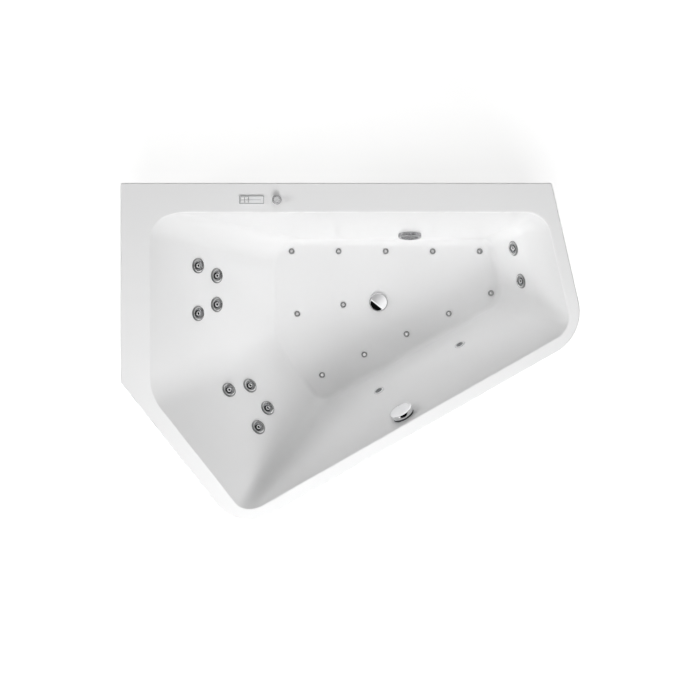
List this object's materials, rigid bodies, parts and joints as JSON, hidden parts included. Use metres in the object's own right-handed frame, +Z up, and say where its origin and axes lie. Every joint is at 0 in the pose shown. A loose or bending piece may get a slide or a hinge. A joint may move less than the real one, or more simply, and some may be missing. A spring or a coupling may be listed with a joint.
{
  "type": "jetted bathtub",
  "caption": "Five-sided corner jetted bath with swivelling wall jets, floor air jets, a turning overflow knob that lifts the waste cover, a rim control panel, and its pump, blower, pipes and frame.",
  "frame": {"origin": "on the floor under the middle of the rim's outline, at the feet's soles", "axes": "+X runs right along the back wall, +Y points to the back wall, +Z is up"},
  "size_m": [1.7707, 1.3, 0.619],
  "materials": {
    "acrylic_white": "glossy moulded acrylic",
    "chrome_trim": "polished chrome plate",
    "satin_trim": "satin plated metal",
    "nozzle_white": "glossy moulded plastic",
    "pipe_white": "smooth extruded plastic",
    "fitting_grey": "moulded plastic",
    "hose_grey": "flexible plastic hose",
    "housing_dark": "moulded glass-filled plastic",
    "box_grey": "moulded plastic box",
    "motor_paint": "sprayed enamel",
    "rotor_steel": "turned steel",
    "frame_steel": "galvanised box section",
    "foot_steel": "zinc-plated threaded steel",
    "foot_rubber": "moulded rubber",
    "cable_black": "plastic-sheathed cable",
    "board_wood": "bonded chipboard",
    "panel_grey": "satin moulded plastic",
    "key_white": "moulded key caps",
    "window_dark": "smoked window",
    "lamp_glass": "frosted lens"
  },
  "bodies": {
    "bath": {"tub_shell": "acrylic_white", "floor_board": "board_wood", "support_frame": "frame_steel", "foot_spindles": "foot_steel", "foot_pads": "foot_rubber", "foot_nuts": "foot_steel", "apron_panel": "acrylic_white", "apron_clips": "frame_steel", "machine_tray": "frame_steel", "drain_flange": "chrome_trim", "waste_body": "pipe_white", "trap": "pipe_white", "overflow_flange": "chrome_trim", "waste_seals": "foot_rubber", "overflow_body": "pipe_white", "overflow_pipe": "pipe_white", "lift_cable": "cable_black", "jet_rings": "satin_trim", "jet_bodies": "fitting_grey", "suction_cover": "satin_trim", "suction_body": "fitting_grey", "wall_nuts": "fitting_grey", "water_pipes": "pipe_white", "suction_pipe": "pipe_white", "air_pipes": "hose_grey", "air_jet_caps": "satin_trim", "air_jet_bodies": "fitting_grey", "air_lines": "hose_grey", "blower_housing": "housing_dark", "pump_volute": "housing_dark", "pump_motor": "motor_paint", "fan_cover": "housing_dark", "pump_base": "motor_paint", "terminal_box": "housing_dark", "lamp_housings": "chrome_trim", "lamp_lenses": "lamp_glass", "panel_bezel": "panel_grey", "panel_window": "window_dark", "air_base": "chrome_trim", "air_valve": "fitting_grey", "control_box": "box_grey"},
    "left_nozzle_1_ball": {"left_nozzle_1": "nozzle_white"},
    "left_nozzle_2_ball": {"left_nozzle_2": "nozzle_white"},
    "left_nozzle_3_ball": {"left_nozzle_3": "nozzle_white"},
    "left_nozzle_4_ball": {"left_nozzle_4": "nozzle_white"},
    "shoulder_nozzle_1_ball": {"shoulder_nozzle_1": "nozzle_white"},
    "shoulder_nozzle_2_ball": {"shoulder_nozzle_2": "nozzle_white"},
    "shoulder_nozzle_3_ball": {"shoulder_nozzle_3": "nozzle_white"},
    "shoulder_nozzle_4_ball": {"shoulder_nozzle_4": "nozzle_white"},
    "foot_nozzle_1_ball": {"foot_nozzle_1": "nozzle_white"},
    "foot_nozzle_2_ball": {"foot_nozzle_2": "nozzle_white"},
    "overflow_control": {"overflow_knob": "chrome_trim"},
    "drain_plug": {"drain_cover": "chrome_trim"},
    "panel_key_1_cap": {"panel_key_1": "key_white"},
    "panel_key_2_cap": {"panel_key_2": "key_white"},
    "panel_key_3_cap": {"panel_key_3": "key_white"},
    "panel_key_4_cap": {"panel_key_4": "key_white"},
    "air_control": {"air_knob": "chrome_trim"},
    "pump_spinner": {"pump_rotor": "rotor_steel"}
  },
  "joints": [
    {"name": "left_nozzle_1_swivel", "type": "hinge", "parent": "bath", "child": "left_nozzle_1_ball", "pos_m": [-0.60594, 0.14948, 0.4229], "axis": [0, 1, 0], "range_deg": [-12, 12]},
    {"name": "left_nozzle_2_swivel", "type": "hinge", "parent": "bath", "child": "left_nozzle_2_ball", "pos_m": [-0.60594, 0.33748, 0.4229], "axis": [0, 1, 0], "range_deg": [-12, 12]},
    {"name": "left_nozzle_3_swivel", "type": "hinge", "parent": "bath", "child": "left_nozzle_3_ball", "pos_m": [-0.53684, 0.18648, 0.3544], "axis": [0, 1, 0], "range_deg": [-12, 12]},
    {"name": "left_nozzle_4_swivel", "type": "hinge", "parent": "bath", "child": "left_nozzle_4_ball", "pos_m": [-0.53684, 0.30048, 0.3544], "axis": [0, 1, 0], "range_deg": [-12, 12]},
    {"name": "shoulder_nozzle_1_swivel", "type": "hinge", "parent": "bath", "child": "shoulder_nozzle_1_ball", "pos_m": [-0.36949, -0.30441, 0.36873], "axis": [-0.6192, 0.7852, 0], "range_deg": [-12, 12]},
    {"name": "shoulder_nozzle_2_swivel", "type": "hinge", "parent": "bath", "child": "shoulder_nozzle_2_ball", "pos_m": [-0.4859, -0.15679, 0.36873], "axis": [-0.6192, 0.7852, 0], "range_deg": [-12, 12]},
    {"name": "shoulder_nozzle_3_swivel", "type": "hinge", "parent": "bath", "child": "shoulder_nozzle_3_ball", "pos_m": [-0.33546, -0.23045, 0.30023], "axis": [-0.6192, 0.7852, 0], "range_deg": [-12, 12]},
    {"name": "shoulder_nozzle_4_swivel", "type": "hinge", "parent": "bath", "child": "shoulder_nozzle_4_ball", "pos_m": [-0.40605, -0.14094, 0.30023], "axis": [-0.6192, 0.7852, 0], "range_deg": [-12, 12]},
    {"name": "foot_nozzle_1_swivel", "type": "hinge", "parent": "bath", "child": "foot_nozzle_1_ball", "pos_m": [0.66289, 0.41476, 0.28111], "axis": [0.2226, -0.9749, 0], "range_deg": [-12, 12]},
    {"name": "foot_nozzle_2_swivel", "type": "hinge", "parent": "bath", "child": "foot_nozzle_2_ball", "pos_m": [0.69271, 0.28413, 0.28111], "axis": [0.2226, -0.9749, 0], "range_deg": [-12, 12]},
    {"name": "overflow_turn", "type": "hinge", "parent": "bath", "child": "overflow_control", "pos_m": [0.20641, -0.24621, 0.535], "axis": [-0.4452, 0.7829, 0.4346], "range_deg": [0, 90]},
    {"name": "drain_lift", "type": "slide", "parent": "bath", "child": "drain_plug", "axis": [0, 0, 1], "range_m": [0, 0.01]},
    {"name": "panel_key_1_press", "type": "slide", "parent": "bath", "child": "panel_key_1_cap", "axis": [0, 0, -1], "range_m": [0, 0.001], "stiffness_N_per_m": 400},
    {"name": "panel_key_2_press", "type": "slide", "parent": "bath", "child": "panel_key_2_cap", "axis": [0, 0, -1], "range_m": [0, 0.001], "stiffness_N_per_m": 400},
    {"name": "panel_key_3_press", "type": "slide", "parent": "bath", "child": "panel_key_3_cap", "axis": [0, 0, -1], "range_m": [0, 0.001], "stiffness_N_per_m": 400},
    {"name": "panel_key_4_press", "type": "slide", "parent": "bath", "child": "panel_key_4_cap", "axis": [0, 0, -1], "range_m": [0, 0.001], "stiffness_N_per_m": 400},
    {"name": "air_turn", "type": "hinge", "parent": "bath", "child": "air_control", "pos_m": [-0.28237, 0.58398, 0.6], "axis": [0, 0, 1], "range_deg": [0, 270]},
    {"name": "pump_spin", "type": "hinge", "parent": "bath", "child": "pump_spinner", "pos_m": [-0.67269, 0.44498, 0.23168], "axis": [0, -1, 0], "continuous": true}
  ],
  "couplings": [
    {"joint": "drain_lift", "follows": "overflow_turn", "m_per_rad": 0.0063662}
  ]
}
